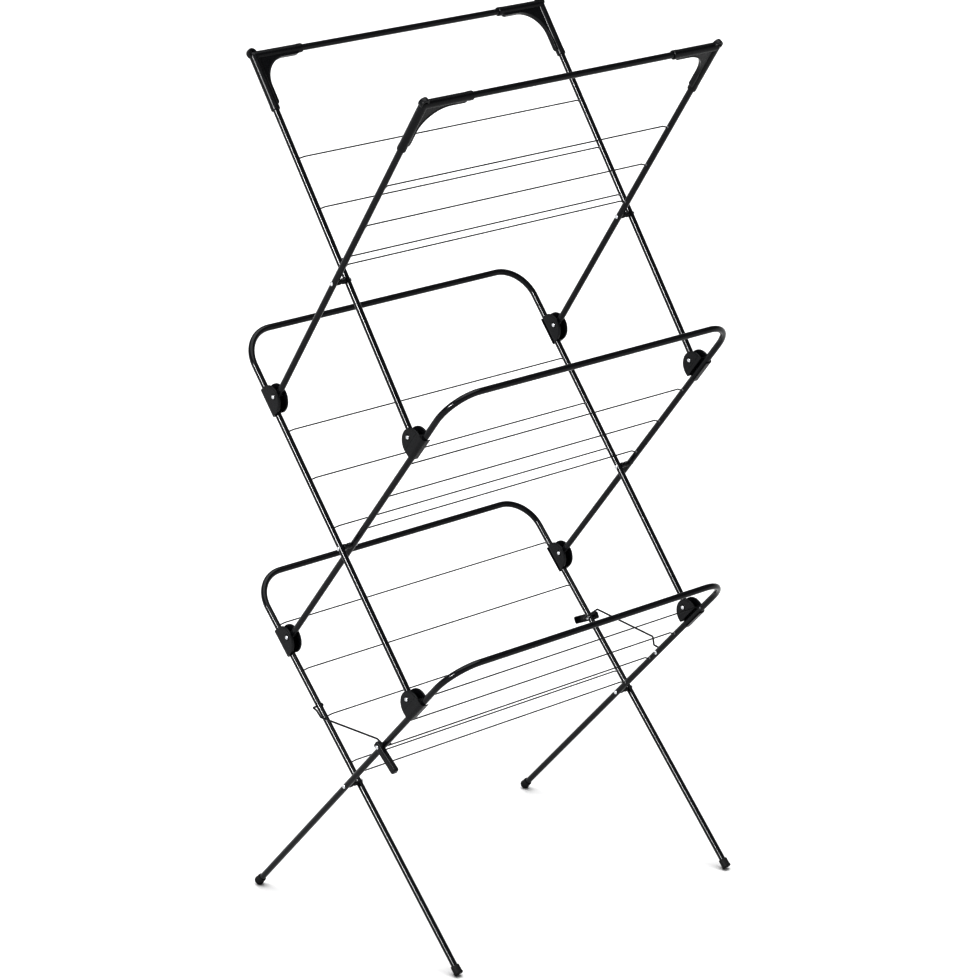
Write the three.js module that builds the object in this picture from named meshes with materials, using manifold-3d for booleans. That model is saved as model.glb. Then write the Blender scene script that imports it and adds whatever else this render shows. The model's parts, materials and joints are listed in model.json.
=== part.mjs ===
// Free-standing three-tier folding clothes airer, fully open.
//
// Units are millimetres. +Z is up, X runs along the drying wires and -Y is the front. The origin is on
// the floor under the middle. Seen from the side the airer is a tower of three scissors. The back half
// of each scissor is its front half turned half a turn about Z, so each frame is made by one function
// and placed twice. Every frame is flat, and is drawn in its own axes: the origin is at the scissor's
// crossing, z runs up the tubes, x runs along the rail and y points to the inner, upper side.
import * as THREE from "three";
import { mergeVertices } from "three/addons/utils/BufferGeometryUtils.js";
import Module from "manifold-3d";

const wasm = await Module();
wasm.setup();

// ---------------------------------------------------------------- driving dimensions
const frameWidth = 580; // between the axes of a frame's two side tubes
const planeGap = 24.6; // between the axes of the two tubes that cross
const openHalfAngle = THREE.MathUtils.degToRad(43.95); // bottom tier, from the vertical
const legReach = 348.9; // crossing to floor, along the leg
const clearance = 0.3; // between pieces that touch or turn on each other

const tubeRadius = 5;
const tubeWall = 0.9;
const bendRadius = 55;

const wireRadius = 1;
const firstWire = 34; // crossing to the lowest drying wire
const wireSpacing = 84;
const lowerWires = 4;
const upperWires = 3;
const wireRise = 3.5; // the wires lie this far proud of the tube axes
const wireCrank = 8; // length of the bend at each end of a wire
const wireTip = 0.5; // wire inside the tube's bore
const railAboveWire = 88.5; // a bottom frame's top wire to its rail

const hubBelowWire = 30.4; // a bottom frame's top wire to its hub
const hubOffset = 20.1; // tube axis to the hub's pivot
const hubHalfLength = 23.5;
const hubWall = 1.3; // of the trough that holds the tube
const hubBevel = 4; // along the trough's outer edge
const earThickness = 3;
const earClearance = 1; // between an ear and the tube that turns between the two
const earMargin = 11.9; // pivot to the ear's rounded edge
const pinnedEndLength = 8; // tube beyond its pivot

const rivetRadius = 2;
const rivetHeadRadius = 3.4;
const rivetHeadHeight = 1.5;
const spacerRadius = 4.6;

const footLength = 24;
const footWall = 1.7;
const footFlare = 0.8;
const footChamfer = 0.8;
const soleThickness = 3;

const cornerArm = 91; // bracket's sleeves, from the corner
const cornerWall = 1.5;
const cornerFlank = 9.5; // tube axis to the rib along the bracket's inner edge
const cornerFillet = 44;
const cornerRib = 2.2;
const cornerRibHalfDepth = 4;
const cornerRibStop = 8; // end of the rib to the end of the sleeve
const cornerWeb = 3;
const cornerStop = 12; // corner to the end of a tube inside the bracket
const eyeletRadius = 8;
const eyeletHole = 3.6;
const eyeletHalfDepth = 4.2;
const eyeletOut = 1.3; // eyelet's centre outside the side tube's axis
const eyeletUp = 4.5; // and above the rail's axis

const stayAboveWire = 20; // a bottom frame's second wire to the lock stays' pivots
const stayRadius = 1.4;
const stayBend = 2;
const stayCapRadius = 3.6;
const stayCapHeight = 2.4;
const hookLength = 3; // stay beyond its catch pin
const catchPinLength = 2; // beyond the tube's inner side
const catchHeadRadius = 3;
const leverLength = 49; // pivot to tip
const leverTail = 8;
const leverWidth = 12.5;
const leverDepth = 8;
const leverThickness = 1.4;
const leverRound = 3.5;
const leverDroop = { left: 39, right: 25 }; // degrees below the horizontal

// ---------------------------------------------------------------- what follows from them
const topWire = firstWire + (lowerWires - 1) * wireSpacing;
const railReach = topWire + railAboveWire; // crossing to rail
const hubReach = topWire - hubBelowWire; // crossing to hub, along the tube
const stayReach = firstWire + wireSpacing + stayAboveWire; // crossing to the lock stays' pivots
const hubLean = Math.atan2(hubOffset, hubReach);
const pivotReach = Math.hypot(hubReach, hubOffset); // crossing to pivot, in both frames of a scissor
const halfAngles = [0, 1, 2].map((tier) => openHalfAngle - tier * hubLean);
const crossingHeights = [legReach * Math.cos(openHalfAngle)];
for (const angle of halfAngles.slice(1))
  crossingHeights.push(crossingHeights.at(-1) + 2 * pivotReach * Math.cos(angle));
const halfWidth = frameWidth / 2;
const halfGap = planeGap / 2;
const seatRadius = tubeRadius + clearance;
const rivetHole = rivetRadius + clearance;
// the leg stops where its lower edge is one sole above the floor
const legEnd =
  legReach - (soleThickness + tubeRadius * Math.sin(openHalfAngle)) / Math.cos(openHalfAngle);

// ---------------------------------------------------------------- materials
const finishes = {
  tube: { color: 0x1c1e21, roughness: 0.35, metalness: 0.3 },
  wire: { color: 0x26282b, roughness: 0.4, metalness: 0.4 },
  plastic: { color: 0x151617, roughness: 0.5, metalness: 0 },
  rubber: { color: 0x101011, roughness: 0.85, metalness: 0 },
  steel: { color: 0xc9ccd0, roughness: 0.25, metalness: 1 },
};

// ---------------------------------------------------------------- solids
function solid(geometry) {
  const bare = geometry.clone();
  bare.deleteAttribute("normal");
  bare.deleteAttribute("uv");
  const merged = mergeVertices(bare, 1e-4);
  return new wasm.Manifold(
    new wasm.Mesh({
      numProp: 3,
      vertProperties: Float32Array.from(merged.attributes.position.array),
      triVerts: Uint32Array.from(merged.index.array),
    }),
  );
}

const join = (...pieces) => pieces.reduce((whole, piece) => whole.add(piece));
const cut = (body, ...tools) => tools.reduce((whole, tool) => whole.subtract(tool), body);

function node(name, body, finish) {
  const data = body.getMesh();
  const geometry = new THREE.BufferGeometry();
  geometry.setAttribute("position", new THREE.BufferAttribute(data.vertProperties, 3));
  geometry.setIndex(new THREE.BufferAttribute(data.triVerts, 1));
  const faceted = geometry.toNonIndexed();
  faceted.computeVertexNormals();
  const mesh = new THREE.Mesh(faceted, new THREE.MeshStandardMaterial(finishes[finish]));
  mesh.name = name;
  return mesh;
}

// A box between two opposite corners.
function block(corner, opposite) {
  const box = new THREE.Box3().setFromPoints([
    new THREE.Vector3(...corner),
    new THREE.Vector3(...opposite),
  ]);
  const size = box.getSize(new THREE.Vector3());
  const middle = box.getCenter(new THREE.Vector3());
  return solid(new THREE.BoxGeometry(...size).translate(...middle));
}

// A round bar along x, y or z, from one coordinate to another on that axis.
function bar(axis, radius, from, to, centre, sides = 10) {
  const geometry = new THREE.CylinderGeometry(radius, radius, Math.abs(to - from), sides);
  if (axis === "x") geometry.rotateZ(Math.PI / 2);
  if (axis === "z") geometry.rotateX(Math.PI / 2);
  const place = new THREE.Vector3(...centre);
  place[axis] = (from + to) / 2;
  return solid(geometry.translate(place.x, place.y, place.z));
}

// The bar that cuts a hole: its flat sides, not its corners, are a radius from the axis. It runs on
// past both ends, so that it cuts clean through.
const past = 1;
const bore = (axis, radius, from, to, centre, sides = 10) => {
  const onwards = Math.sign(to - from) * past;
  return bar(axis, radius / Math.cos(Math.PI / sides), from - onwards, to + onwards, centre, sides);
};

// A bar bent like wire or tube: straight between the points, with an arc of the given radius at each.
// A station is kept only where the shape turns, so the straights stay single facets.
class BentPath extends THREE.Curve {
  constructor(points, radius, stepsPerBend) {
    super();
    this.stations = [];
    const corners = points.map((point) => new THREE.Vector3(...point));
    const heading = (i) => corners[i + 1].clone().sub(corners[i]).normalize();
    this.stations.push({ point: corners[0], tangent: heading(0) });
    for (let i = 1; i < corners.length - 1; i += 1)
      this.addBend(corners[i], heading(i - 1), heading(i), radius, stepsPerBend);
    this.stations.push({ point: corners.at(-1), tangent: heading(corners.length - 2) });
  }

  addBend(corner, before, after, radius, steps) {
    const turn = before.angleTo(after);
    const setback = radius * Math.tan(turn / 2);
    const start = corner.clone().addScaledVector(before, -setback);
    const inward = after.clone().addScaledVector(before, -before.dot(after)).normalize();
    for (let step = 0; step <= steps; step += 1) {
      const angle = (turn * step) / steps;
      const point = start
        .clone()
        .addScaledVector(before, radius * Math.sin(angle))
        .addScaledVector(inward, radius * (1 - Math.cos(angle)));
      const tangent = before
        .clone()
        .multiplyScalar(Math.cos(angle))
        .addScaledVector(inward, Math.sin(angle));
      this.stations.push({ point, tangent });
    }
  }

  get steps() {
    return this.stations.length - 1;
  }

  station(t) {
    return this.stations[Math.round(t * this.steps)];
  }

  getPoint(t, target = new THREE.Vector3()) {
    return target.copy(this.station(t).point);
  }

  getPointAt(t, target) {
    return this.getPoint(t, target);
  }

  getTangentAt(t, target = new THREE.Vector3()) {
    return target.copy(this.station(t).tangent);
  }
}

// sideSegments is half the number of the section's sides.
function sweep(path, radius, boreRadius, sideSegments) {
  const section = new THREE.Shape().absarc(0, 0, radius, 0, 2 * Math.PI);
  if (boreRadius) section.holes.push(new THREE.Path().absarc(0, 0, boreRadius, 0, 2 * Math.PI, true));
  return solid(
    new THREE.ExtrudeGeometry(section, {
      extrudePath: path,
      steps: path.steps,
      curveSegments: sideSegments,
      bevelEnabled: false,
    }),
  );
}

const tube = (points) =>
  sweep(new BentPath(points, bendRadius, 7), tubeRadius, tubeRadius - tubeWall, 6);

// An outline in the y-z plane, made into a plate between two x values.
function plateAlongX(outline, fromX, toX, segments = 7) {
  const geometry = new THREE.ExtrudeGeometry(outline, {
    depth: Math.abs(toX - fromX),
    curveSegments: segments,
    bevelEnabled: false,
  });
  // the shape's own x and y become y and z
  geometry.applyMatrix4(new THREE.Matrix4().makeBasis(
    new THREE.Vector3(0, 1, 0),
    new THREE.Vector3(0, 0, 1),
    new THREE.Vector3(1, 0, 0),
  ));
  return solid(geometry.translate(Math.min(fromX, toX), 0, 0));
}

// ---------------------------------------------------------------- holes in a side tube
const crossHole = (x, height, radius) =>
  bore("x", radius, x - tubeRadius, x + tubeRadius, [0, 0, height]);

// A drying wire's hole goes through the tube's inner wall only.
const wireHole = (x, side, height) =>
  bore("x", wireRadius + clearance, x - side * past, x - side * tubeRadius, [0, 0, height], 6);

const wireHeights = (count) =>
  Array.from({ length: count }, (_, i) => firstWire + i * wireSpacing);

// ---------------------------------------------------------------- pieces of a frame
function dryingWire(shift, height) {
  const seat = halfWidth - tubeRadius + tubeWall + wireTip;
  const bend = halfWidth - tubeRadius - wireRise / 2;
  const inner = bend - wireCrank + wireRise / 2;
  const path = [
    [shift - seat, 0, height],
    [shift - bend, 0, height],
    [shift - inner, wireRise, height],
    [shift + inner, wireRise, height],
    [shift + bend, 0, height],
    [shift + seat, 0, height],
  ];
  return sweep(new BentPath(path, 2 * wireRadius, 1), wireRadius, 0, 3);
}

// One piece of tube bent to an upside-down U.
function bentFrame(shift, lowEnd) {
  return tube([
    [shift - halfWidth, 0, -lowEnd],
    [shift - halfWidth, 0, railReach],
    [shift + halfWidth, 0, railReach],
    [shift + halfWidth, 0, -lowEnd],
  ]);
}

// Two ears on a trough that holds the tube. The trough is open on its inner side, where the tube snaps
// in; the outer ear covers the tube and the inner ear stops short of it.
function hub(x, side) {
  const half = hubHalfLength;
  const inner = tubeRadius + earClearance;
  const outer = inner + earThickness;
  const wall = seatRadius + hubWall;
  const centre = hubOffset + earMargin - half;
  const earOutline = new THREE.Shape()
    .moveTo(0, -half)
    .lineTo(centre, -half)
    .absarc(centre, 0, half, -Math.PI / 2, Math.PI / 2)
    .lineTo(0, half)
    .closePath();
  const ear = (from, to) => plateAlongX(earOutline, x + side * from, x + side * to);
  const section = [
    [-outer, 0],
    [-outer, wall],
    [outer, wall],
    [outer, hubBevel - wall],
    [outer - hubBevel, -wall],
    [-seatRadius, -wall],
    [-seatRadius, 0],
  ];
  const trough = solid(
    new THREE.ExtrudeGeometry(
      new THREE.Shape(section.map(([across, out]) => new THREE.Vector2(side * across, out))),
      { depth: 2 * half, bevelEnabled: false },
    ).translate(x, 0, -half),
  );
  const opening = block(
    [x - side * (outer + past), -seatRadius, -half - past],
    [x, seatRadius, half + past],
  );
  const pivot = [0, hubOffset, 0];
  const head = outer + rivetHeadHeight;
  const rivet = join(
    bar("x", rivetRadius, x - outer, x + outer, pivot),
    bar("x", rivetHeadRadius, x - head, x - outer, pivot),
    bar("x", rivetHeadRadius, x + outer, x + head, pivot),
  );
  const seat = bore("z", seatRadius, -half, half, [x, 0, 0]);
  const moulding = cut(join(trough, ear(inner, outer), ear(-outer, -inner)), opening, seat);
  return join(moulding, rivet).translate([0, 0, hubReach]);
}

// Rivet through two crossing tubes, with the spacer that keeps them apart. The spacer's end is a
// saddle on its own frame's tube and flat towards the tube that turns.
function crossingPivot(ownX, mateX) {
  const away = Math.sign(ownX - mateX);
  const headAt = tubeRadius + clearance;
  const ownHead = ownX + away * headAt;
  const mateHead = mateX - away * headAt;
  const centre = [0, 0, 0];
  const spacer = cut(
    bar("x", spacerRadius, ownX, mateX + away * headAt, centre),
    bore("z", seatRadius, -spacerRadius, spacerRadius, [ownX, 0, 0]),
  );
  return join(
    bar("x", rivetRadius, ownHead, mateHead, centre),
    bar("x", rivetHeadRadius, ownHead, ownHead + away * rivetHeadHeight, centre),
    bar("x", rivetHeadRadius, mateHead, mateHead - away * rivetHeadHeight, centre),
    spacer,
  );
}

// A cap pushed on the leg and cut level with the floor.
function foot(x, frameMatrix) {
  const bottom = -legReach - 2 * tubeRadius;
  const top = -legEnd + footLength - soleThickness;
  const seatEnd = -legEnd - clearance;
  const outer = seatRadius + footWall;
  const profile = [
    [seatRadius, top],
    [seatRadius, seatEnd],
    [0, seatEnd],
    [0, bottom],
    [outer + footFlare, bottom],
    [outer + footFlare, seatEnd + soleThickness],
    [outer, seatEnd + 2 * soleThickness],
    [outer, top - footChamfer],
    [outer - footChamfer, top],
    [seatRadius, top],
  ];
  const lathe = new THREE.LatheGeometry(profile.map((p) => new THREE.Vector2(...p)), 16);
  const depth = 8 * outer;
  const ground = new THREE.BoxGeometry(depth, 2 * depth, depth)
    .translate(0, legReach * Math.sin(openHalfAngle), -depth / 2)
    .applyMatrix4(frameMatrix.clone().invert());
  return cut(solid(lathe.rotateX(Math.PI / 2)), solid(ground)).translate([x, 0, 0]);
}

// Moulded corner of the top tier: two round sleeves, a web between them with a rib along its hollow
// edge, and an eyelet.
function cornerBracket(x, side) {
  const sleeve = seatRadius + cornerWall;
  const tangent = cornerFlank + cornerFillet;
  const bevel = cornerFlank - sleeve;
  const ribEnd = cornerArm - cornerRibStop;
  // drawn with +x towards the middle of the rail and +y up the side tube
  const outline = new THREE.Shape()
    .moveTo(0, 0)
    .lineTo(0, -ribEnd)
    .lineTo(sleeve, -ribEnd)
    .lineTo(cornerFlank, -ribEnd + bevel)
    .lineTo(cornerFlank, -tangent)
    .absarc(tangent, -tangent, cornerFillet, Math.PI, Math.PI / 2, true)
    .lineTo(ribEnd - bevel, -cornerFlank)
    .lineTo(ribEnd, -sleeve)
    .lineTo(ribEnd, 0)
    .closePath();
  const ribInner = cornerFlank - cornerRib;
  const pocket = new THREE.Shape()
    .moveTo(0, 0)
    .lineTo(0, -tangent)
    .lineTo(ribInner, -tangent)
    .absarc(tangent, -tangent, cornerFillet + cornerRib, Math.PI, Math.PI / 2, true)
    .lineTo(tangent, 0)
    .closePath();
  const slab = (shape, low, high) =>
    solid(
      new THREE.ExtrudeGeometry(shape, {
        depth: high - low,
        curveSegments: 7,
        bevelEnabled: false,
      }).translate(0, 0, low),
    );
  const eye = [-eyeletOut, eyeletUp, 0];
  const moulding = join(
    cut(
      slab(outline, -cornerRibHalfDepth, cornerRibHalfDepth),
      slab(pocket, cornerWeb / 2, cornerRibHalfDepth + past),
      slab(pocket, -cornerRibHalfDepth - past, -cornerWeb / 2),
    ),
    bar("x", sleeve, 0, cornerArm, [0, 0, 0], 16),
    bar("y", sleeve, -cornerArm, 0, [0, 0, 0], 16),
    bar("z", eyeletRadius, -eyeletHalfDepth, eyeletHalfDepth, eye, 16),
  );
  const seatStart = cornerStop - clearance + past;
  const bracket = cut(
    moulding,
    bore("z", eyeletHole, -sleeve, sleeve, eye, 12),
    bore("x", seatRadius, seatStart, cornerArm, [0, 0, 0]),
    bore("y", seatRadius, -cornerArm, -seatStart, [0, 0, 0]),
  );
  // the drawing's axes turn to the frame's: towards the middle, up the tube, and across
  const towardsMiddle = new THREE.Vector3(-side, 0, 0);
  const up = new THREE.Vector3(0, 0, 1);
  const across = towardsMiddle.clone().cross(up);
  const place = new THREE.Matrix4()
    .makeBasis(towardsMiddle, up, across)
    .setPosition(x, 0, railReach);
  return bracket.transform(place.elements);
}

// ---------------------------------------------------------------- frames
const front = 1;
const back = -1;
const frontOrBack = (facing) => (facing === front ? "front" : "back");
const leftOrRight = (side, facing) => (side * facing < 0 ? "left" : "right");

function frameGroup(tier, facing) {
  const turned = new THREE.Group();
  turned.rotation.z = facing === front ? 0 : Math.PI;
  const tilted = new THREE.Group();
  tilted.position.z = crossingHeights[tier];
  tilted.rotation.x = halfAngles[tier];
  turned.add(tilted);
  turned.updateMatrixWorld(true);
  return { turned, tilted };
}

function addWires(group, label, shift, count) {
  wireHeights(count).forEach((height, i) =>
    group.add(node(`${label}_wire_${i + 1}`, dryingWire(shift, height), "wire")));
}

function drill(body, shift, count, pinned) {
  for (const side of [-1, 1]) {
    const x = shift + side * halfWidth;
    body = cut(body, ...drillings(x, side, count, pinned));
  }
  return body;
}

const drillings = (x, side, count, pinned) => [
  crossHole(x, 0, rivetHole),
  ...(pinned ? [crossHole(x, -pivotReach, rivetHole)] : []),
  ...wireHeights(count).map((height) => wireHole(x, side, height)),
];

function addHubs(group, facing, tierName, shift) {
  for (const side of [-1, 1]) {
    const name = `${frontOrBack(facing)}_${tierName}_hub_${leftOrRight(side, facing)}`;
    group.add(node(name, hub(shift + side * halfWidth, side), "plastic"));
  }
}

function addCrossingPivots(group, facing, tierName, shift) {
  for (const side of [-1, 1]) {
    const name = `${tierName}_crossing_rivet_${leftOrRight(side, facing)}`;
    const middle = side * halfWidth;
    group.add(node(name, crossingPivot(middle + shift, middle - shift), "steel"));
  }
}

function lowerFrame(facing) {
  const { turned, tilted } = frameGroup(0, facing);
  const shift = -halfGap;
  const label = `lower_${frontOrBack(facing)}`;
  const body = cut(
    drill(bentFrame(shift, legEnd), shift, lowerWires, false),
    crossHole(shift - halfWidth, stayReach, rivetHole),
    crossHole(shift + halfWidth, stayReach, stayRadius + clearance),
  );
  tilted.add(node(`${label}_frame`, body, "tube"));
  addWires(tilted, label, shift, lowerWires);
  addHubs(tilted, facing, "lower", shift);
  for (const side of [-1, 1]) {
    // this frame's legs stand on the other side of the crossing from its rail
    const name = `foot_${frontOrBack(-facing)}_${leftOrRight(side, facing)}`;
    const x = shift + side * halfWidth;
    tilted.add(node(name, foot(x, frameGroup(0, front).tilted.matrixWorld), "rubber"));
  }
  if (facing === front) addCrossingPivots(tilted, facing, "lower", shift);
  return turned;
}

function middleFrame(facing) {
  const { turned, tilted } = frameGroup(1, facing);
  const shift = halfGap;
  const label = `middle_${frontOrBack(facing)}`;
  const body = drill(bentFrame(shift, pivotReach + pinnedEndLength), shift, upperWires, true);
  tilted.add(node(`${label}_frame`, body, "tube"));
  addWires(tilted, label, shift, upperWires);
  addHubs(tilted, facing, "middle", shift);
  if (facing === back) addCrossingPivots(tilted, facing, "middle", shift);
  return turned;
}

function upperFrame(facing) {
  const { turned, tilted } = frameGroup(2, facing);
  const shift = -halfGap;
  const label = `upper_${frontOrBack(facing)}`;
  const railEnd = halfWidth - cornerStop;
  const rail = tube([[shift - railEnd, 0, railReach], [shift + railEnd, 0, railReach]]);
  tilted.add(node(`${label}_rail`, rail, "tube"));
  for (const side of [-1, 1]) {
    const x = shift + side * halfWidth;
    const sideName = leftOrRight(side, facing);
    const upright = tube([[x, 0, -pivotReach - pinnedEndLength], [x, 0, railReach - cornerStop]]);
    const drilled = cut(upright, ...drillings(x, side, upperWires, true));
    tilted.add(node(`${label}_side_tube_${sideName}`, drilled, "tube"));
    tilted.add(node(`${label}_corner_${sideName}`, cornerBracket(x, side), "plastic"));
  }
  addWires(tilted, label, shift, upperWires);
  if (facing === front) addCrossingPivots(tilted, facing, "upper", shift);
  return turned;
}

// ---------------------------------------------------------------- lock on the bottom tier
// A stay turns on one frame, runs in the gap between the two planes, and turns out to the catch pin of
// the other. Its cranks are (along the stay, up), from its pivot at the near end and from the catch pin
// at the far one; the left stay's crank turns down and the right one's turns up.
const staySpan = 2 * stayReach * Math.sin(openHalfAngle);
const stayHeight = crossingHeights[0] + stayReach * Math.cos(openHalfAngle);
const cranks = {
  left: { near: [[9, -2], [19, -10.5]], far: [[-32, -3], [-20, -7.5]] },
  right: { near: [[22, 2], [25, 16]], far: [[-32, 26], [-20, 17]] },
};
const endName = (side) => (side < 0 ? "left" : "right");

function lockStay(side) {
  // the stay's pivot is on the tube that is inboard: the back frame's at the left end
  const gapX = side * halfWidth;
  const axleEnd = side * (halfWidth - halfGap - tubeRadius - stayCapHeight);
  const pinEnd = halfWidth + halfGap - tubeRadius - catchPinLength;
  const hookEnd = side * (pinEnd - clearance - stayRadius / 2);
  const at = (x, along, up) => [x, side * (along - staySpan / 2), stayHeight + up];
  const { near, far } = cranks[endName(side)];
  const path = [
    at(axleEnd, 0, 0),
    at(gapX, 0, 0),
    ...near.map(([along, up]) => at(gapX, along, up)),
    ...far.map(([along, up]) => at(gapX, staySpan + along, up)),
    at(gapX, staySpan + hookLength / 2, 0),
    at(hookEnd, staySpan + hookLength, 0),
  ];
  return sweep(new BentPath(path, stayBend, 2), stayRadius, 0, 4);
}

function stayCap(side) {
  const tubeSide = side * (halfWidth - halfGap - tubeRadius - clearance);
  const end = tubeSide - side * stayCapHeight;
  const at = [0, (-side * staySpan) / 2, stayHeight];
  return cut(
    bar("x", stayCapRadius, tubeSide, end, at),
    bore("x", stayRadius + clearance, tubeSide, end, at, 8),
  );
}

function catchPin(side) {
  const tubeX = side * (halfWidth + halfGap);
  const outside = tubeX + side * (tubeRadius + 3 * clearance + leverDepth);
  const innerSide = tubeX - side * (tubeRadius + clearance);
  const innerEnd = tubeX - side * (tubeRadius + catchPinLength);
  const at = [0, (side * staySpan) / 2, stayHeight];
  return join(
    bar("x", rivetRadius, innerEnd, outside, at),
    bar("x", rivetHeadRadius, outside, outside + side * rivetHeadHeight, at),
    bar("x", catchHeadRadius, innerEnd, innerSide, at),
  );
}

// A channel with its open side to the tube, turning on the catch pin outside the tube.
function lever(side) {
  const inside = tubeRadius + 2 * clearance;
  const outside = inside + leverDepth;
  const half = leverWidth / 2;
  const [tail, tip] = [-leverTail, leverLength];
  const outline = new THREE.Shape()
    .moveTo(tail + leverRound, -half)
    .lineTo(tip - leverRound, -half)
    .quadraticCurveTo(tip, -half, tip, -half + leverRound)
    .lineTo(tip, half - leverRound)
    .quadraticCurveTo(tip, half, tip - leverRound, half)
    .lineTo(tail + leverRound, half)
    .quadraticCurveTo(tail, half, tail, half - leverRound)
    .lineTo(tail, -half + leverRound)
    .quadraticCurveTo(tail, -half, tail + leverRound, -half)
    .closePath();
  const channel = cut(
    plateAlongX(outline, inside, outside, 3),
    block(
      [inside - past, tail - past, -half + leverThickness],
      [outside - leverThickness, tip - leverThickness, half - leverThickness],
    ),
    bore("x", rivetHole, inside, outside, [0, 0, 0]),
  );
  // drawn for the right end, pointing back; half a turn about Z makes the left one
  return channel
    .rotate([-leverDroop[endName(side)], 0, 0])
    .translate([halfWidth + halfGap, staySpan / 2, stayHeight])
    .rotate([0, 0, side < 0 ? 180 : 0]);
}

// ---------------------------------------------------------------- the airer
const airer = new THREE.Group();
airer.name = "folding_clothes_airer";
for (const facing of [front, back])
  airer.add(lowerFrame(facing), middleFrame(facing), upperFrame(facing));
for (const side of [-1, 1]) {
  airer.add(
    node(`lock_stay_${endName(side)}`, lockStay(side), "wire"),
    node(`lock_stay_cap_${endName(side)}`, stayCap(side), "steel"),
    node(`lock_lever_${endName(side)}`, lever(side), "plastic"),
    node(`lock_catch_pin_${endName(side)}`, catchPin(side), "steel"),
  );
}

export default airer;
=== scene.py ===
import json
import math

import bmesh
import bpy
import numpy as np
from mathutils import Matrix, Vector

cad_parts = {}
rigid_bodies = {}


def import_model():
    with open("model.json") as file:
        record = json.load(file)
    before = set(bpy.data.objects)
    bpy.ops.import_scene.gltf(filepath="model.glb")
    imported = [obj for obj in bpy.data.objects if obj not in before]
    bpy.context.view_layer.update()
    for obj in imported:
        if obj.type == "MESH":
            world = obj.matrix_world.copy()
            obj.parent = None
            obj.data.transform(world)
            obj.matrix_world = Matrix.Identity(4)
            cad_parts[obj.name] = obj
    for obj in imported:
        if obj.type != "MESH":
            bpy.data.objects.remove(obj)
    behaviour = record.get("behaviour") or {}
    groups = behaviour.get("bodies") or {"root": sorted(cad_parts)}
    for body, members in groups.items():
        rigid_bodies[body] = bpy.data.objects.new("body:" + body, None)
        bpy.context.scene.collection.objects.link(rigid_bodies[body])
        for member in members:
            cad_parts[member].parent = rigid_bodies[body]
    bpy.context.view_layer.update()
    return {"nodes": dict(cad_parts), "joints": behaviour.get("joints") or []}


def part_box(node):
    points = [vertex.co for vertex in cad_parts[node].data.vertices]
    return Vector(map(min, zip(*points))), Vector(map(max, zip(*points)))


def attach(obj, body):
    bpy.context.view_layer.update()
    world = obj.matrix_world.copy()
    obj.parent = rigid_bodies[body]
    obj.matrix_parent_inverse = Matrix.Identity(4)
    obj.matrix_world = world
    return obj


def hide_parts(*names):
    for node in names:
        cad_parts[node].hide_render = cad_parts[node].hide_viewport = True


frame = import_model()

# ---------------------------------------------------------------- sizes, in millimetres
CLEARANCE = 0.3

# tubes; the tube's radius is measured from the frame
TUBE_WALL = 0.9
TUBE_SIDES = 40
BORE_DEPTH = 14.0
BEND_RADIUS = 55.0

# drying wires: cranked to the frame's inner side by the rise, behind a tip that enters the tube
WIRE_RADIUS = 1.0
WIRE_RISE = 3.5
WIRE_CRANK = 8.0
WIRE_TIP = 0.5
WELD_SPOT = [(0.5, -0.8), (1.7, -0.6), (2.0, -0.1), (1.8, 0.5), (1.4, 1.1), (1.08, 1.9), (0.7, 2.2)]

# rivets
RIVET_SHANK = 2.0
RIVET_HEAD = 3.4
RIVET_HEIGHT = 1.5
SPACER_RADIUS = 4.6
SPACER_GAP = 0.6

# hubs: two ears on a trough round the tube, with a raised face, a boss and ribs on each ear
HUB_WALL = 1.3
HUB_ROUND = 6.5
EAR = 3.0
EAR_MARGIN = 11.9
EAR_PROUD = 0.12
FACE_HEIGHT = 0.4
FACE_RIM = 2.0
FACE_STEP = 8.5
HUB_RIB_LENGTH = 3.2
HUB_RIB_HALF = 0.8
HUB_RIB_MARGIN = 5.0

# corner brackets of the top frames: two sleeves, a web with a rib along its free edge, and an eyelet
SLEEVE_WALL = 1.5
CORNER_FLANK = 9.5
CORNER_FILLET = 44.0
CORNER_WEB_HALF = 3.5
CORNER_RIB = 2.4
CORNER_RIB_HALF = 4.2
CORNER_RIB_STOP = 8.0
EYELET_RADIUS = 8.0
EYELET_HOLE = 3.6
EYELET_HALF = 4.2
EYELET_OUT = 1.3
EYELET_UP = 4.5

# feet
FOOT_WALL = 1.7
FOOT_LIP = 0.6
FOOT_CAP = 15.0

# the bottom tier's lock. A stay's bends are (along, up): two along from its pivot, then two along
# from the catch pin, all up from the pivot's height
STAY_RADIUS = 1.4
STAY_BEND = 2.0
HOOK_LENGTH = 3.0
STAY_CRANKS = {
    "left": ([(9, -2), (19, -10.5)], [(-32, -3), (-20, -7.5)]),
    "right": ([(22, 2), (25, 16)], [(-32, 26), (-20, 17)]),
}
PIN_TAIL = 3.0
PIN_TAIL_HEIGHT = 1.7
LEVER_WALL = 1.4
LEVER_ROUND = 3.5
LEVER_DROOP = {"left": 39.0, "right": 25.0}


# ---------------------------------------------------------------- meshes
def arc_path(corners, radius, step=math.radians(5)):
    """Straight between the corners, with an arc at each inner one: (point, heading) stations."""
    points = [Vector(c) for c in corners]
    stations = [(points[0], (points[1] - points[0]).normalized())]
    for before, corner, after in zip(points, points[1:], points[2:]):
        a = (corner - before).normalized()
        b = (after - corner).normalized()
        turn = a.angle(b)
        start = corner - a * radius * math.tan(turn / 2)
        inward = (b - a * a.dot(b)).normalized()
        steps = max(3, round(turn / step))
        for i in range(steps + 1):
            t = turn * i / steps
            point = start + a * radius * math.sin(t) + inward * radius * (1 - math.cos(t))
            stations.append((point, a * math.cos(t) + inward * math.sin(t)))
    stations.append((points[-1], (points[-1] - points[-2]).normalized()))
    return stations


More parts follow.
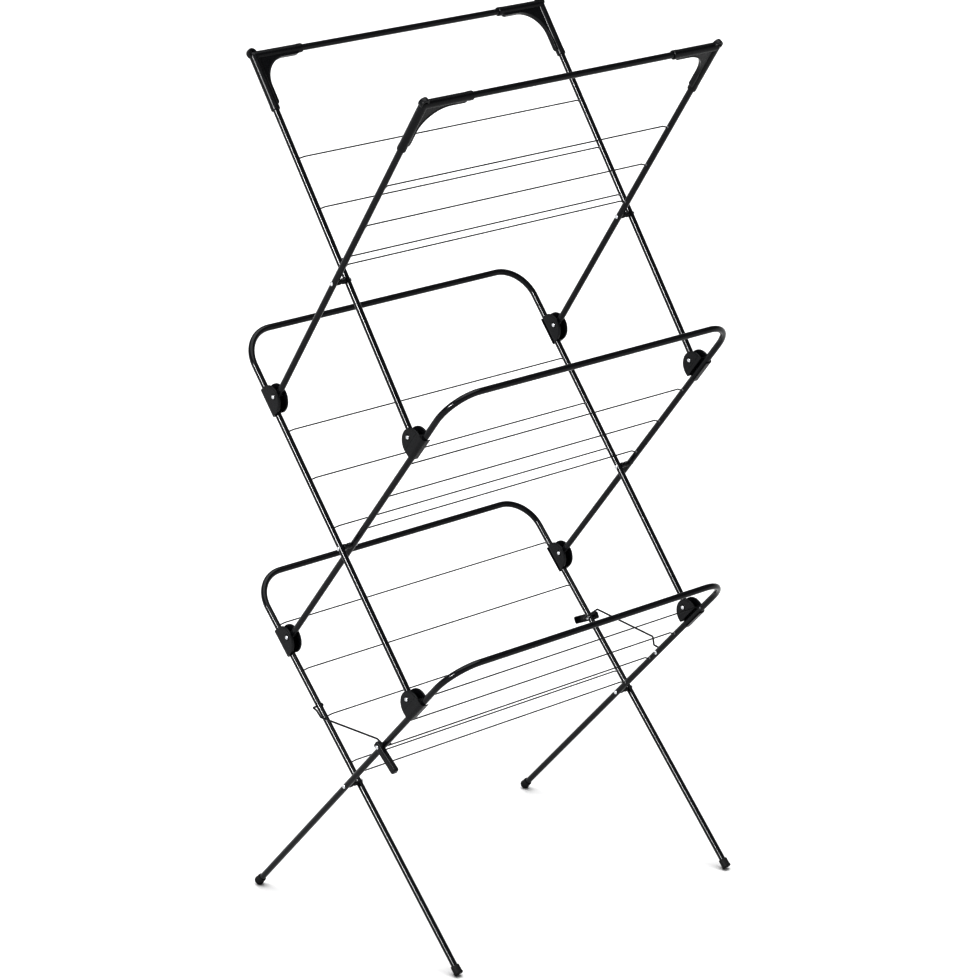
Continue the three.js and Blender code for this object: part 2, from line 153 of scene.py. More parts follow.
def skin(bm, rings, material, loop=False):
    """Joins rings, which are lists of as many points each, into a closed skin. A loop has no ends."""
    made = [[bm.verts.new(p) for p in ring] for ring in rings]
    pairs = list(zip(made, made[1:])) + ([(made[-1], made[0])] if loop else [])
    for low, high in pairs:
        for i in range(len(low)):
            j = (i + 1) % len(low)
            bm.faces.new((low[i], low[j], high[j], high[i])).material_index = material
    if not loop:
        bm.faces.new(list(reversed(made[0]))).material_index = material
        bm.faces.new(made[-1]).material_index = material


def sweep(bm, stations, radius, sides, start=(), end=()):
    """A round bar along the stations. start and end are (radius, onward) rings that shape its ends."""
    side = stations[0][1].orthogonal().normalized()
    rings = []

    def ring(centre, r, across, up):
        return [
            centre + (across * math.cos(a) + up * math.sin(a)) * r
            for a in (2 * math.pi * k / sides for k in range(sides))
        ]

    frames = []
    for point, heading in stations:
        side = (side - heading * heading.dot(side)).normalized()
        frames.append((point, heading, side, heading.cross(side)))
    first, last = frames[0], frames[-1]
    for r, onward in reversed(start):
        rings.append(ring(first[0] - first[1] * onward, r, first[2], first[3]))
    for point, heading, across, up in frames:
        rings.append(ring(point, radius, across, up))
    for r, onward in end:
        rings.append(ring(last[0] + last[1] * onward, r, last[2], last[3]))
    skin(bm, rings, 0)


def revolve(bm, place, profile, sides=32, material=0, loop=False):
    """Turns (radius, height) points about the z axis of place. A loop is a ring, such as a washer."""
    rings = [
        [
            place @ Vector((r * math.cos(a), r * math.sin(a), h))
            for a in (2 * math.pi * k / sides for k in range(sides))
        ]
        for r, h in profile
    ]
    skin(bm, rings, material, loop)


def prism(bm, outline, low, high, place, bevel, segments=2):
    """A plate with rounded edges: an outline in x and y, between two heights, put where place says."""
    part = bmesh.new()
    base = part.faces.new([part.verts.new((x, y, low)) for x, y in outline])
    made = bmesh.ops.extrude_face_region(part, geom=[base])["geom"]
    bmesh.ops.translate(
        part, vec=(0, 0, high - low), verts=[v for v in made if isinstance(v, bmesh.types.BMVert)]
    )
    bmesh.ops.recalc_face_normals(part, faces=part.faces)
    sharp = [e for e in part.edges if e.is_manifold and e.calc_face_angle() > math.radians(32)]
    bmesh.ops.bevel(
        part, geom=sharp, offset=bevel, segments=segments, profile=0.5, affect="EDGES", clamp_overlap=True
    )
    bmesh.ops.transform(part, matrix=place, verts=part.verts)
    if place.determinant() < 0:
        bmesh.ops.reverse_faces(part, faces=part.faces)
    copy = bpy.data.meshes.new("part")
    part.to_mesh(copy)
    part.free()
    bm.from_mesh(copy)
    bpy.data.meshes.remove(copy)


def arc(centre, radius, start, end, steps):
    """Points of an arc between two angles in degrees."""
    angles = np.radians(np.linspace(start, end, steps + 1))
    return [(centre[0] + radius * math.cos(a), centre[1] + radius * math.sin(a)) for a in angles]


def piece(name, bm, place, body, node, materials, angle=35):
    """Turns the mesh into an object that stands for a CAD node and rides on its body."""
    bmesh.ops.recalc_face_normals(bm, faces=bm.faces)
    bmesh.ops.transform(bm, matrix=place, verts=bm.verts)
    mesh = bpy.data.meshes.new(name)
    bm.to_mesh(mesh)
    bm.free()
    for material in materials:
        mesh.materials.append(material)
    mesh.shade_smooth()
    mesh.set_sharp_from_angle(angle=math.radians(angle))
    obj = bpy.data.objects.new(name, mesh)
    bpy.context.scene.collection.objects.link(obj)
    weighted = obj.modifiers.new("weighted", "WEIGHTED_NORMAL")
    weighted.keep_sharp = True
    weighted.weight = 80
    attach(obj, body)
    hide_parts(node)


# ---------------------------------------------------------------- where the frame's pieces are
def corners_of(place, node):
    """Lowest and highest corner of a CAD node in the axes of place, in millimetres."""
    inverse = place.inverted()
    points = [inverse @ v.co for v in frame["nodes"][node].data.vertices]
    low = Vector(min(p[i] for p in points) for i in range(3))
    high = Vector(max(p[i] for p in points) for i in range(3))
    return low, high


JOINTS = {j["name"]: Vector(j["pos_m"]) for j in frame["joints"]}
CROSSINGS = {"lower": "fold", "middle": "middle_crossing_pivot", "upper": "upper_crossing_pivot"}
MM = Matrix.Scale(0.001, 4)


def side_view(node):
    """A node's vertices seen along x, in millimetres."""
    return 1000 * np.array([(v.co.y, v.co.z) for v in frame["nodes"][node].data.vertices])


rail_points = side_view("upper_front_rail")
TUBE = float(np.linalg.norm(rail_points - rail_points.mean(axis=0), axis=1).max())


def tilted_axes(tier, face):
    """A frame's own axes, in millimetres: origin at its crossing, z up its tubes, y to its inner side."""
    crossing = JOINTS[CROSSINGS[tier]]
    node = f"upper_{face}_side_tube_left" if tier == "upper" else f"{tier}_{face}_frame"
    # the tubes run straight through the crossing, so their main direction is the frame's slope
    slope = np.linalg.svd(side_view(node) - 1000 * np.array(crossing)[1:], full_matrices=False)[2][0]
    up = Vector((0, *slope)) * math.copysign(1, slope[1])
    across = Vector((1 if face == "front" else -1, 0, 0))
    axes = Matrix((across, up.cross(across), up)).transposed().to_4x4()
    return Matrix.Translation((0, crossing.y, crossing.z)) @ axes @ MM


def body_name(tier, face):
    return f"{tier}_{face}_frame_body"


def end_name(side, face):
    """left or right of the whole airer, for a side in a frame's own axes."""
    return "left" if (side < 0) == (face == "front") else "right"


def rounded(radius, round_off):
    """Rings that close a bar's end with a rounded rim."""
    return [
        (radius - round_off * (1 - math.cos(a)), round_off * math.sin(a))
        for a in np.radians([30, 60, 90])
    ] + [(radius * 0.4, round_off * 1.08)]


# rings of a cut tube's end: a small break of the edge, the wall and the bore
OPEN_END = [
    (TUBE - 0.12, 0.12),
    (TUBE - TUBE_WALL + 0.1, 0.12),
    (TUBE - TUBE_WALL, 0.0),
    (TUBE - TUBE_WALL, -BORE_DEPTH),
]


def along_x(x, y, z, outwards):
    """Axes at a point whose z points along +x or -x."""
    return Matrix.Translation((x, y, z)) @ Matrix.Rotation(outwards * math.pi / 2, 4, "Y")


# ---------------------------------------------------------------- pieces
def drying_wire(name, place, tier, face):
    """A wire across a frame, cranked at both ends, with a spot of weld where each enters its tube."""
    low, high = corners_of(place, name)
    centre = np.mean([v.co for v in frame["nodes"][name].data.vertices], axis=0)
    height = (place.inverted() @ Vector(centre)).z
    tip = WIRE_TIP + TUBE_WALL
    stations = [(0, 0), (tip + WIRE_RISE / 2, 0), (tip + WIRE_CRANK, WIRE_RISE)]
    path = [(low.x + x, y, height) for x, y in stations]
    path += [(high.x - x, y, height) for x, y in reversed(stations)]
    bm = bmesh.new()
    sweep(bm, arc_path(path, 2 * WIRE_RADIUS, math.radians(12)), WIRE_RADIUS, 12)
    for x, inwards in ((low.x + tip, 1), (high.x - tip, -1)):
        revolve(bm, along_x(x, 0, height, inwards), WELD_SPOT, 16, 1)
    piece(f"{name}_bar", bm, place, body_name(tier, face), name, [WIRE, WELD])


def bent_frame(node, place, tier, face):
    """A frame's tube, bent into an upside-down U, with open ends."""
    low, high = corners_of(place, node)
    left, right, top = low.x + TUBE, high.x - TUBE, high.z - TUBE
    route = [(left, 0, low.z), (left, 0, top), (right, 0, top), (right, 0, low.z)]
    bm = bmesh.new()
    sweep(bm, arc_path(route, BEND_RADIUS, math.radians(3)), TUBE, TUBE_SIDES, OPEN_END, OPEN_END)
    piece(f"{node}_tube", bm, place, body_name(tier, face), node, [TUBE_PAINT])


def straight_tube(node, place, face, along):
    """A top frame's side tube or rail, which runs along one of the frame's axes."""
    low, high = corners_of(place, node)
    start = Vector(((low.x + high.x) / 2, 0, (low.z + high.z) / 2))
    end = start.copy()
    start[along], end[along] = low[along], high[along]
    bm = bmesh.new()
    sweep(bm, arc_path([start, end], 0), TUBE, TUBE_SIDES, OPEN_END, OPEN_END)
    piece(f"{node}_bar", bm, place, body_name("upper", face), node, [TUBE_PAINT])


def domed_head(bm, place, radius, height, material):
    """A rivet's pan head on the plane z = 0 of place, with a dimple in its middle."""
    revolve(
        bm,
        place,
        [
            (radius * 0.92, -0.25),
            (radius, 0.1),
            (radius, height * 0.35),
            (radius * 0.94, height * 0.62),
            (radius * 0.76, height * 0.86),
            (radius * 0.5, height * 0.98),
            (radius * 0.42, height * 0.94),
            (radius * 0.3, height * 0.8),
            (radius * 0.12, height * 0.76),
        ],
        28,
        material,
    )


def hub(node, place, side, tier, face):
    """A moulding clipped round a tube, with two ears that hold the next frame's end on a rivet."""
    low, high = corners_of(place, node)
    x, along = (low.x + high.x) / 2, (low.z + high.z) / 2
    half = (high.z - low.z) / 2
    outer = (high.x - low.x) / 2 - RIVET_HEIGHT
    inner = outer - EAR
    seat = TUBE + CLEARANCE
    wall = seat + HUB_WALL
    centre = high.y - half
    pivot = high.y - EAR_MARGIN
    bm = bmesh.new()
    # drawn with x out of the tube towards the pivot, y up the tube and z across, outwards
    drawn = Matrix(((0, 0, side, x), (1, 0, 0, 0), (0, 1, 0, along), (0, 0, 0, 1)))
    ear = [(0.0, -half), *arc((centre, 0), half, -90, 90, 30), (0.0, half)]
    inner_ear = [(seat, -half), *ear[1:-1], (seat, half)]
    prism(bm, ear, inner, outer, drawn, 0.7)
    prism(bm, inner_ear, -outer, -inner, drawn, 0.7)
    # a raised face on each ear leaves a rim along its round edge and a step towards the tube
    face_radius = half - FACE_RIM
    reach = math.degrees(math.acos((pivot - FACE_STEP - centre) / face_radius))
    raised = arc((centre, 0), face_radius, -reach, reach, 26)
    prism(bm, raised, outer - FACE_HEIGHT, outer + FACE_HEIGHT, drawn, 0.3)
    prism(bm, raised, -outer - FACE_HEIGHT, -outer + FACE_HEIGHT, drawn, 0.3)
    # the trough round the tube, open on its inner side; drawn across and out, and run up the tube.
    # Its sides lie just behind the ears' faces
    side_face = outer - EAR_PROUD
    section = [
        (-side_face, seat),
        (-side_face, wall),
        (side_face, wall),
        *arc((side_face - HUB_ROUND, HUB_ROUND - wall), HUB_ROUND, 0, -90, 8),
        (-seat, -wall),
        (-seat, -seat),
        *arc((0, 0), seat, -90, 90, 14),
    ]
    trough = Matrix(((side, 0, 0, x), (0, 1, 0, 0), (0, 0, 1, along), (0, 0, 0, 1)))
    prism(bm, section, -half, half, trough, 0.45)
    # bosses round the rivet, and ribs between the ears' roots
    for outwards in (-1, 1):
        boss = along_x(x + outwards * outer, pivot, along, outwards)
        ring = [(5.5, 0.0), (5.5, 0.55), (5.2, 0.8), (4.6, 0.8), (4.2, FACE_HEIGHT), (3.0, FACE_HEIGHT)]
        revolve(bm, boss, ring, 36)
        domed_head(bm, boss @ Matrix.Translation((0, 0, FACE_HEIGHT)), RIVET_HEAD, RIVET_HEIGHT, 1)
    shank = [(RIVET_SHANK, 0), (RIVET_SHANK, 2 * outer)]
    revolve(bm, along_x(x - outer, pivot, along, 1), shank, 20, 1)
    root, tip = wall - 0.5, wall + HUB_RIB_LENGTH
    for at in (-half + HUB_RIB_MARGIN, 0.0, half - HUB_RIB_MARGIN):
        low_side, high_side = at - HUB_RIB_HALF, at + HUB_RIB_HALF
        rib = [(root, low_side), (tip, low_side), (tip, high_side), (root, high_side)]
        prism(bm, rib, inner - 1.2, inner + 0.4, drawn, 0.3)
        prism(bm, rib, -inner - 0.4, -inner + 1.2, drawn, 0.3)
    piece(f"{node}_moulding", bm, place, body_name(tier, face), node, [PLASTIC, STEEL])


def crossing_pivot(node, place, tier, face):
    """A rivet through two tubes, and the spacer that keeps them apart."""
    low, high = corners_of(place, node)
    near, far = low.x + RIVET_HEIGHT, high.x - RIVET_HEIGHT
    bm = bmesh.new()
    revolve(bm, along_x(near, 0, 0, 1), [(RIVET_SHANK, 0), (RIVET_SHANK, far - near)], 20)
    domed_head(bm, along_x(far, 0, 0, 1), RIVET_HEAD, RIVET_HEIGHT, 0)
    domed_head(bm, along_x(near, 0, 0, -1), RIVET_HEAD, RIVET_HEIGHT, 0)
    start = near + 2 * TUBE + SPACER_GAP
    length = far - near - 4 * TUBE - 2 * SPACER_GAP
    r = SPACER_RADIUS
    revolve(
        bm,
        along_x(start, 0, 0, 1),
        [
            (r * 0.6, -0.4), (r - 0.5, -0.4), (r, 0.1), (r, length * 0.32), (r - 0.7, length * 0.4),
            (r - 0.7, length * 0.6), (r, length * 0.68), (r, length - 0.1), (r - 0.5, length + 0.4),
            (r * 0.6, length + 0.4),
        ],
        32,
        1,
    )
    piece(f"{node}_set", bm, place, body_name(tier, face), node, [STEEL, PLASTIC])


def foot(node, place, face):
    """A short round cap with a lip at its end. The lip's lower edge rests on the floor."""
    low, high = corners_of(place, node)
    outer = TUBE + CLEARANCE + FOOT_WALL
    lip = outer + FOOT_LIP
    profile = [
        (0.5, 0.0), (lip - 1.6, 0.0), (lip - 0.7, 0.25), (lip - 0.15, 0.9), (lip, 1.8), (lip, 3.4),
        (lip - 0.25, 4.0), (outer, 4.6), (outer, FOOT_CAP - 1.6), (outer - 0.25, FOOT_CAP - 0.7),
        (outer - 0.9, FOOT_CAP), (TUBE + 0.2, FOOT_CAP), (TUBE + 0.1, FOOT_CAP - 1.0),
        (2.0, FOOT_CAP - 1.0),
    ]
    bm = bmesh.new()
    revolve(bm, Matrix.Translation(((low.x + high.x) / 2, 0, low.z)), profile, 40)
    lowest = min((place @ v.co).z for v in bm.verts)
    lift = -lowest / (place.to_3x3() @ Vector((0, 0, 1))).z
    bmesh.ops.translate(bm, vec=(0, 0, lift), verts=bm.verts)
    piece(f"{node}_cap", bm, place, body_name("lower", face), node, [RUBBER], 50)


def corner(node, place, side, face):
    """A moulded bracket that joins a top frame's side tube to its rail, with an eyelet at its tip."""
    low, high = corners_of(place, node)
    tube_low, tube_high = corners_of(place, f"upper_{face}_side_tube_{end_name(side, face)}")
    rail_low, rail_high = corners_of(place, f"upper_{face}_rail")
    x, z = (tube_low.x + tube_high.x) / 2, (rail_low.z + rail_high.z) / 2
    arm = z - low.z
    sleeve = TUBE + CLEARANCE + SLEEVE_WALL
    # drawn with x towards the middle of the rail and y up the side tube
    drawn = Matrix(((-side, 0, 0, x), (0, 0, 1, 0), (0, 1, 0, z), (0, 0, 0, 1)))
    # a round sleeve along each tube, with a soft collar at its mouth
    profile = [
        (1.0, -sleeve * 0.98), (sleeve * 0.35, -sleeve * 0.93), (sleeve * 0.72, -sleeve * 0.7),
        (sleeve * 0.93, -sleeve * 0.35), (sleeve, 0.0), (sleeve, arm - 9.5), (sleeve + 0.35, arm - 8.6),
        (sleeve + 0.35, arm - 1.3), (sleeve + 0.05, arm - 0.4), (sleeve - 0.5, arm),
        (TUBE + 0.2, arm), (TUBE + 0.1, arm - 1.2), (2.0, arm - 1.2),
    ]
    bm = bmesh.new()
    for axis in "YX":
        revolve(bm, drawn @ Matrix.Rotation(math.pi / 2, 4, axis), profile, 36)
    tangent = CORNER_FLANK + CORNER_FILLET
    stop = arm - CORNER_RIB_STOP
    web = [
        (0.0, 0.0), (0.0, -stop), (sleeve * 0.9, -stop), (CORNER_FLANK - 1.0, -stop + 2.5),
        (CORNER_FLANK - 1.0, -tangent),
        *arc((tangent, -tangent), CORNER_FILLET + 1.0, 180, 90, 22),
        (stop - 2.5, -CORNER_FLANK + 1.0), (stop, -sleeve * 0.9), (stop, 0.0),
    ]
    prism(bm, web, -CORNER_WEB_HALF, CORNER_WEB_HALF, drawn, 0.3)
    # a rib along the web's free edge, running out on the sleeves
    outer_edge = [
        (sleeve * 0.8, -stop), (CORNER_FLANK - 1.2, -stop + 1.6), (CORNER_FLANK, -stop + 4.5),
        (CORNER_FLANK, -tangent), *arc((tangent, -tangent), CORNER_FILLET, 180, 90, 26)[1:-1],
        (tangent, -CORNER_FLANK), (stop - 4.5, -CORNER_FLANK), (stop - 1.6, -CORNER_FLANK + 1.2),
        (stop, -sleeve * 0.8),
    ]
    inner_edge = [
        (stop, -2.0), *reversed(arc((tangent, -tangent), CORNER_FILLET + CORNER_RIB, 179, 91, 22)),
        (2.0, -stop),
    ]
    prism(bm, outer_edge + inner_edge, -CORNER_RIB_HALF, CORNER_RIB_HALF, drawn, 0.7, 3)
    eye = drawn @ Matrix.Translation((-EYELET_OUT, EYELET_UP, 0))
    deep, wide, hole = EYELET_HALF, EYELET_RADIUS, EYELET_HOLE
    revolve(
        bm,
        eye,
        [
            (hole, -deep + 0.9), (hole + 0.3, -deep + 0.25), (hole + 1.0, -deep), (wide - 1.3, -deep),
            (wide - 0.4, -deep + 0.4), (wide, -deep + 1.3), (wide, deep - 1.3), (wide - 0.4, deep - 0.4),
            (wide - 1.3, deep), (hole + 1.0, deep), (hole + 0.3, deep - 0.25), (hole, deep - 0.9),
        ],
        40,
        0,
        True,
    )
    piece(f"{node}_moulding", bm, place, body_name("upper", face), node, [PLASTIC])


# ---------------------------------------------------------------- the bottom tier's lock
TUBE_X = {face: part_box(f"lower_{face}_frame")[1].x * 1000 - TUBE for face in ("front", "back")}
GAP_X = (TUBE_X["front"] + TUBE_X["back"]) / 2
OUTER_X = max(TUBE_X.values())


def middle_of(node):
    """The middle of a CAD node's box, in millimetres."""
    low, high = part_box(node)
    return (low + high) * 500


def lock_stay(end, side):
    """A cranked rod that turns in one lower frame and hooks on the other's catch pin."""
    node = f"lock_stay_{end}"
    low, high = corners_of(MM, node)
    axle, hook = (high.x, low.x) if side < 0 else (low.x, high.x)
    pivot = JOINTS[f"stay_{end}_pivot"] * 1000
    catch = middle_of(f"lock_catch_pin_{end}")
    near, far = STAY_CRANKS[end]
    path = [(axle, pivot.y, pivot.z), (side * GAP_X, pivot.y, pivot.z)]
    path += [(side * GAP_X, pivot.y + side * along, pivot.z + up) for along, up in near]
    path += [(side * GAP_X, catch.y + side * along, pivot.z + up) for along, up in far]
    path += [
        (side * GAP_X, catch.y + side * HOOK_LENGTH / 2, pivot.z),
        (hook, catch.y + side * HOOK_LENGTH, pivot.z),
    ]
    bm = bmesh.new()
    rim = rounded(STAY_RADIUS, 0.4)
    sweep(bm, arc_path(path, STAY_BEND, math.radians(10)), STAY_RADIUS, 16, rim, rim)
    piece(f"{node}_rod", bm, MM, f"{node}_body", node, [WIRE])


def stay_cap(end, side, body):
    """The push-on cap at a stay's pivot, with a brim and a dome."""
    node = f"lock_stay_cap_{end}"
    low, high = corners_of(MM, node)
    middle, radius = (low + high) / 2, (high.z - low.z) / 2
    height = high.x - low.x
    base = high.x if side > 0 else low.x
    bm = bmesh.new()
    revolve(
        bm,
        along_x(base, middle.y, middle.z, -side),
        [
            (radius - 0.3, 0.0), (radius, 0.15), (radius, 0.55), (radius - 0.5, 0.8), (2.5, 0.95),
            (2.4, height * 0.6), (2.0, height * 0.88), (1.2, height), (0.5, height * 1.03),
        ],
        28,
    )
    piece(f"{node}_dome", bm, MM, body, node, [STEEL])


def catch_pin(end, side, body):
    """The pin that a stay hooks on and a lever turns on, with a head at each end."""
    node = f"lock_catch_pin_{end}"
    low, high = corners_of(MM, node)
    middle = (low + high) / 2
    inner, outer = (low.x, high.x) if side > 0 else (high.x, low.x)
    shank = [(RIVET_SHANK, 0), (RIVET_SHANK, abs(outer - inner) - RIVET_HEIGHT)]
    head = along_x(outer - side * RIVET_HEIGHT, middle.y, middle.z, side)
    tail = along_x(inner + side * PIN_TAIL_HEIGHT, middle.y, middle.z, -side)
    bm = bmesh.new()
    revolve(bm, along_x(inner + side * 0.5, middle.y, middle.z, side), shank, 24)
    domed_head(bm, head, RIVET_HEAD, RIVET_HEIGHT, 0)
    domed_head(bm, tail, PIN_TAIL, PIN_TAIL_HEIGHT, 0)
    piece(f"{node}_rivet", bm, MM, body, node, [STEEL])


def lever(end, side):
    """A lever moulded as a shallow channel, hollow towards the tube, drawn in its own drooping axes."""
    node = f"lock_lever_{end}"
    pin = middle_of(f"lock_catch_pin_{end}")
    turned = Matrix.Rotation(0 if side > 0 else math.pi, 4, "Z")
    droop = Matrix.Rotation(math.radians(-LEVER_DROOP[end]), 4, "X")
    place = MM @ Matrix.Translation((side * OUTER_X, pin.y, pin.z)) @ turned @ droop
    low, high = corners_of(place, node)
    middle = (low + high) / 2
    half_length, half_width = (high.y - low.y) / 2, (high.z - low.z) / 2

    def outline(inset, x):
        """The channel's rounded outline, drawn in by the inset, at x."""
        radius = max(0.4, LEVER_ROUND - inset)
        length, width = half_length - inset - radius, half_width - inset - radius
        quarters = ((length, width), (-length, width), (-length, -width), (length, -width))
        return [
            place @ Vector((x, middle.y + y, middle.z + z))
            for i, centre in enumerate(quarters)
            for y, z in arc(centre, radius, 90 * i, 90 * (i + 1), 6)
        ]

    inside, outside, wall = low.x, high.x, LEVER_WALL
    steps = [
        (wall, outside - wall), (wall, inside + 0.25), (wall - 0.25, inside), (0.25, inside),
        (0.0, inside + 0.25), (0.0, outside - 1.5), (0.2, outside - 0.75), (0.75, outside - 0.2),
        (1.5, outside), (2.1, outside), (2.3, outside - 0.35), (2.8, outside - 0.35), (3.0, outside),
    ]
    bm = bmesh.new()
    skin(bm, [outline(inset, x) for inset, x in steps], 0)
    piece(f"{node}_channel", bm, Matrix(), f"{node}_body", node, [PLASTIC], 40)


# ---------------------------------------------------------------- materials
def material(name, dark, light, rough, metallic, grain, depth, mottle, **constants):
    """Two shades mixed by a soft mottle, with the roughness and a fine grain bump that vary too."""
    made = bpy.data.materials.new(name)
    made.use_nodes = True
    nodes, link = made.node_tree.nodes, made.node_tree.links.new
    shader = nodes["Principled BSDF"]
    where = nodes.new("ShaderNodeTexCoord").outputs["Object"]

    def noise(scale, detail, roughness=0.5):
        node = nodes.new("ShaderNodeTexNoise")
        node.inputs["Scale"].default_value = scale
        node.inputs["Detail"].default_value = detail
        node.inputs["Roughness"].default_value = roughness
        link(where, node.inputs["Vector"])
        return node.outputs["Fac"]

    def ranged(value, low, high, start, end):
        node = nodes.new("ShaderNodeMapRange")
        node.inputs["From Min"].default_value = low
        node.inputs["From Max"].default_value = high
        node.inputs["To Min"].default_value = start
        node.inputs["To Max"].default_value = end
        link(value, node.inputs["Value"])
        return node.outputs["Result"]

    patches = noise(mottle, 4, 0.6)
    shade = nodes.new("ShaderNodeMix")
    shade.data_type = "RGBA"
    shade.inputs["A"].default_value = (*dark, 1)
    shade.inputs["B"].default_value = (*light, 1)
    link(ranged(patches, 0.32, 0.68, 0, 1), shade.inputs["Factor"])
    link(shade.outputs["Result"], shader.inputs["Base Color"])
    link(ranged(noise(mottle * 3.7, 3), 0.3, 0.7, rough[0], rough[1]), shader.inputs["Roughness"])
    bump = nodes.new("ShaderNodeBump")
    bump.inputs["Distance"].default_value = depth
    bump.inputs["Strength"].default_value = 1.0
    link(noise(grain, 2.5, 0.55), bump.inputs["Height"])
    link(bump.outputs["Normal"], shader.inputs["Normal"])
    shader.inputs["Metallic"].default_value = metallic
    for socket, value in constants.items():
        shader.inputs[socket.replace("_", " ")].default_value = value
    return made


TUBE_PAINT = material(
    "black_powder_coat", (0.0035, 0.0038, 0.0048), (0.0065, 0.007, 0.0085), (0.12, 0.18), 0.0,
    grain=620, depth=0.000005, mottle=55, Specular_IOR_Level=0.28,
)
WIRE = material(
    "black_coated_wire", (0.003, 0.0033, 0.004), (0.007, 0.0075, 0.0085), (0.28, 0.42), 0.0,
    grain=1300, depth=0.000006, mottle=130, Specular_IOR_Level=0.16,
)
WELD = material(
    "weld_spot", (0.05, 0.05, 0.053), (0.20, 0.20, 0.21), (0.35, 0.6), 0.6,
    grain=1900, depth=0.0001, mottle=620,
)
PLASTIC = material(
    "black_moulded_plastic", (0.0018, 0.002, 0.0028), (0.0036, 0.004, 0.0052), (0.24, 0.34), 0.0,
    grain=2200, depth=0.000012, mottle=85, Specular_IOR_Level=0.27,
)
RUBBER = material(
    "black_rubber", (0.0045, 0.0046, 0.005), (0.010, 0.010, 0.0105), (0.55, 0.72), 0.0,
    grain=1700, depth=0.00003, mottle=110, Specular_IOR_Level=0.2,
)
STEEL = material(
    "zinc_plated_steel", (0.50, 0.51, 0.53), (0.74, 0.75, 0.77), (0.16, 0.3), 1.0,
    grain=1500, depth=0.000003, mottle=300, Anisotropic=0.3,
)

# ---------------------------------------------------------------- the airer
for face in ("front", "back"):
    for tier, wires in (("lower", 4), ("middle", 3), ("upper", 3)):
        axes = tilted_axes(tier, face)
        for i in range(wires):
            drying_wire(f"{tier}_{face}_wire_{i + 1}", axes, tier, face)
        if tier == "upper":
            straight_tube(f"upper_{face}_rail", axes, face, 0)
        else:
            bent_frame(f"{tier}_{face}_frame", axes, tier, face)
        for side in (-1, 1):
            end = end_name(side, face)
            if tier == "upper":
                straight_tube(f"upper_{face}_side_tube_{end}", axes, face, 2)
                corner(f"upper_{face}_corner_{end}", axes, side, face)
            else:
                hub(f"{face}_{tier}_hub_{end}", axes, side, tier, face)
            if tier == "lower":
                leg = "back" if face == "front" else "front"
                foot(f"foot_{leg}_{end}", axes, face)
            # a crossing's rivet rides on one of its two frames, which take turns up the tiers
            if (tier, face) in (("lower", "front"), ("middle", "back"), ("upper", "front")):
                crossing_pivot(f"{tier}_crossing_rivet_{end}", axes, tier, face)
for end, side, face in (("left", -1, "front"), ("right", 1, "back")):
    lock_stay(end, side)
    stay_cap(end, side, f"lock_stay_{end}_body")
    catch_pin(end, side, body_name("lower", face))
    lever(end, side)

# ---------------------------------------------------------------- floor and walls, in metres
FLOOR_HALF = 40.0
FLOOR_WHITE = 0.92
WALL_GLOW = 1.1
CEILING_GLOW = 0.22
WALL_TOP = 0.15
CEILING_START = 0.3

floor_paint = bpy.data.materials.new("white_floor")
floor_paint.use_nodes = True
floor_shader = floor_paint.node_tree.nodes["Principled BSDF"]
floor_shader.inputs["Base Color"].default_value = (FLOOR_WHITE, FLOOR_WHITE, FLOOR_WHITE, 1)
floor_shader.inputs["Roughness"].default_value = 0.9
floor_mesh = bpy.data.meshes.new("floor")
floor_corners = [(x * FLOOR_HALF, y * FLOOR_HALF, 0) for x, y in ((-1, -1), (1, -1), (1, 1), (-1, 1))]
floor_mesh.from_pydata(floor_corners, [], [(0, 1, 2, 3)])
floor_mesh.materials.append(floor_paint)
floor = bpy.data.objects.new("floor", floor_mesh)
bpy.context.scene.collection.objects.link(floor)

# white walls up to a little above eye level, and a dim ceiling
world = bpy.data.worlds.new("studio")
world.use_nodes = True
sky, wire_up = world.node_tree.nodes, world.node_tree.links.new
upwards = sky.new("ShaderNodeSeparateXYZ")
walls = sky.new("ShaderNodeMapRange")
for socket, value in (
    ("From Min", WALL_TOP), ("From Max", CEILING_START), ("To Min", WALL_GLOW), ("To Max", CEILING_GLOW)
):
    walls.inputs[socket].default_value = value
wire_up(sky.new("ShaderNodeTexCoord").outputs["Generated"], upwards.inputs["Vector"])
wire_up(upwards.outputs["Z"], walls.inputs["Value"])
wire_up(walls.outputs["Result"], sky["Background"].inputs["Strength"])
sky["Background"].inputs["Color"].default_value = (1, 1, 1, 1)
bpy.context.scene.world = world
bpy.context.scene.view_settings.view_transform = "Standard"
# thin black wires wash out against white, and this gamma brings their darkness back
bpy.context.scene.view_settings.gamma = 0.72

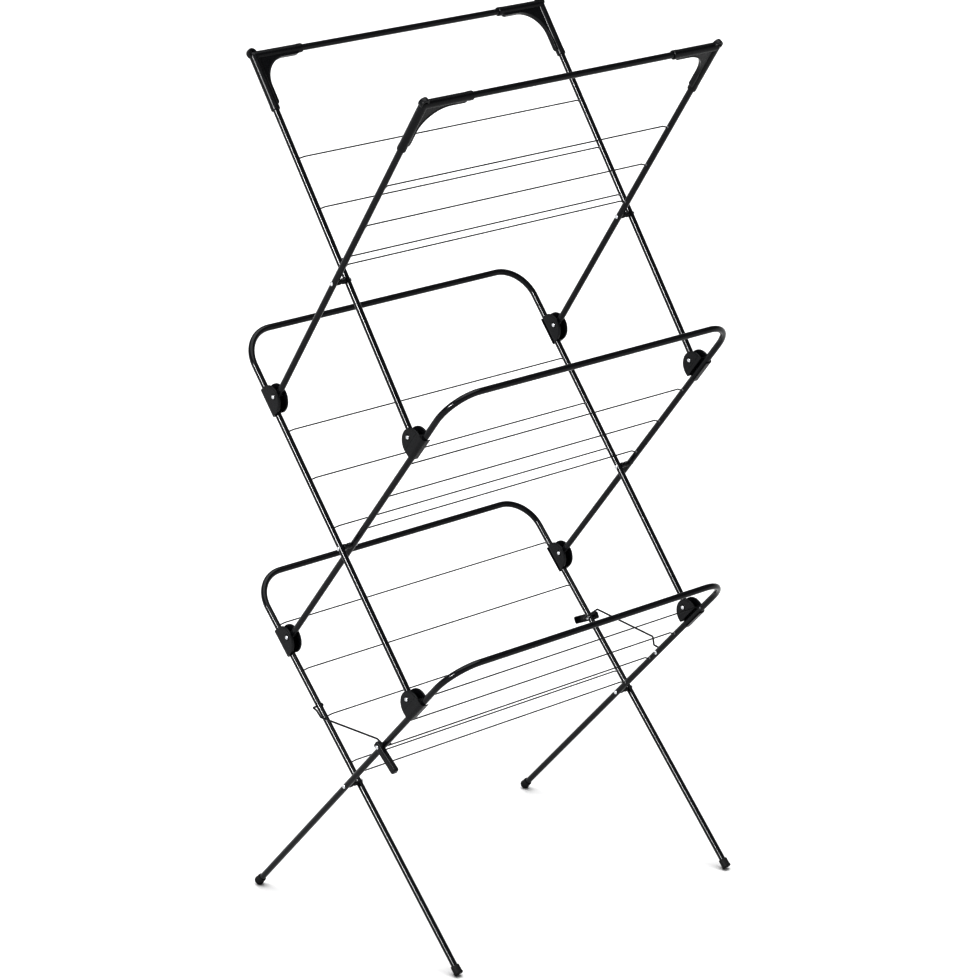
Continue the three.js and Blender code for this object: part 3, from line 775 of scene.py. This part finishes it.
# ---------------------------------------------------------------- lamps, in metres
# the softbox stands where the back frames' side tubes mirror it to the camera, as a long streak
KEY_TOWARDS = (-0.86, -0.2, 0.44)
KEY_DISTANCE = 8.0
KEY_WIDTH = 2.4
KEY_HEIGHT = 1.2
KEY_POWER = 1000
MIDDLE = Vector((0, 0, 0.7))
OVERHEAD_STRENGTH = 3.7
OVERHEAD_ANGLE = math.radians(70)

key_light = bpy.data.lights.new("key_left", "AREA")
key_light.shape = "RECTANGLE"
key_light.size, key_light.size_y, key_light.energy = KEY_WIDTH, KEY_HEIGHT, KEY_POWER
key = bpy.data.objects.new("key_left", key_light)
key.location = MIDDLE + Vector(KEY_TOWARDS).normalized() * KEY_DISTANCE
key.rotation_euler = (MIDDLE - key.location).to_track_quat("-Z", "Y").to_euler()
bpy.context.scene.collection.objects.link(key)

# it lights the airer only, so the floor stays even
lit = bpy.data.collections.new("lit_by_the_key")
for obj in bpy.context.scene.objects:
    if obj.type == "MESH" and obj is not floor:
        lit.objects.link(obj)
key.light_linking.receiver_collection = lit

overhead = bpy.data.lights.new("overhead", "SUN")
overhead.energy, overhead.angle = OVERHEAD_STRENGTH, OVERHEAD_ANGLE
bpy.context.scene.collection.objects.link(bpy.data.objects.new("overhead", overhead))

# ---------------------------------------------------------------- camera, in metres and degrees
CAMERA_PLACE = (-3.4885, -4.0408, 2.5058)
CAMERA_AZIMUTH = -40.81
CAMERA_ELEVATION = 18.97
CAMERA_ROLL = -0.56

camera_data = bpy.data.cameras.new("camera")
camera_data.lens = 131.2
camera_data.sensor_width = 36.0
camera_data.clip_end = 100.0
camera = bpy.data.objects.new("camera", camera_data)
azimuth, elevation, roll = np.radians([CAMERA_AZIMUTH, CAMERA_ELEVATION, CAMERA_ROLL])
backward = Vector((
    math.sin(azimuth) * math.cos(elevation),
    -math.cos(azimuth) * math.cos(elevation),
    math.sin(elevation),
))
right = Vector((math.cos(azimuth), math.sin(azimuth), 0))
level = Matrix((right, backward.cross(right), backward)).transposed().to_4x4()
camera.matrix_world = Matrix.Translation(CAMERA_PLACE) @ level @ Matrix.Rotation(roll, 4, "Z")
bpy.context.scene.collection.objects.link(camera)
bpy.context.scene.camera = camera
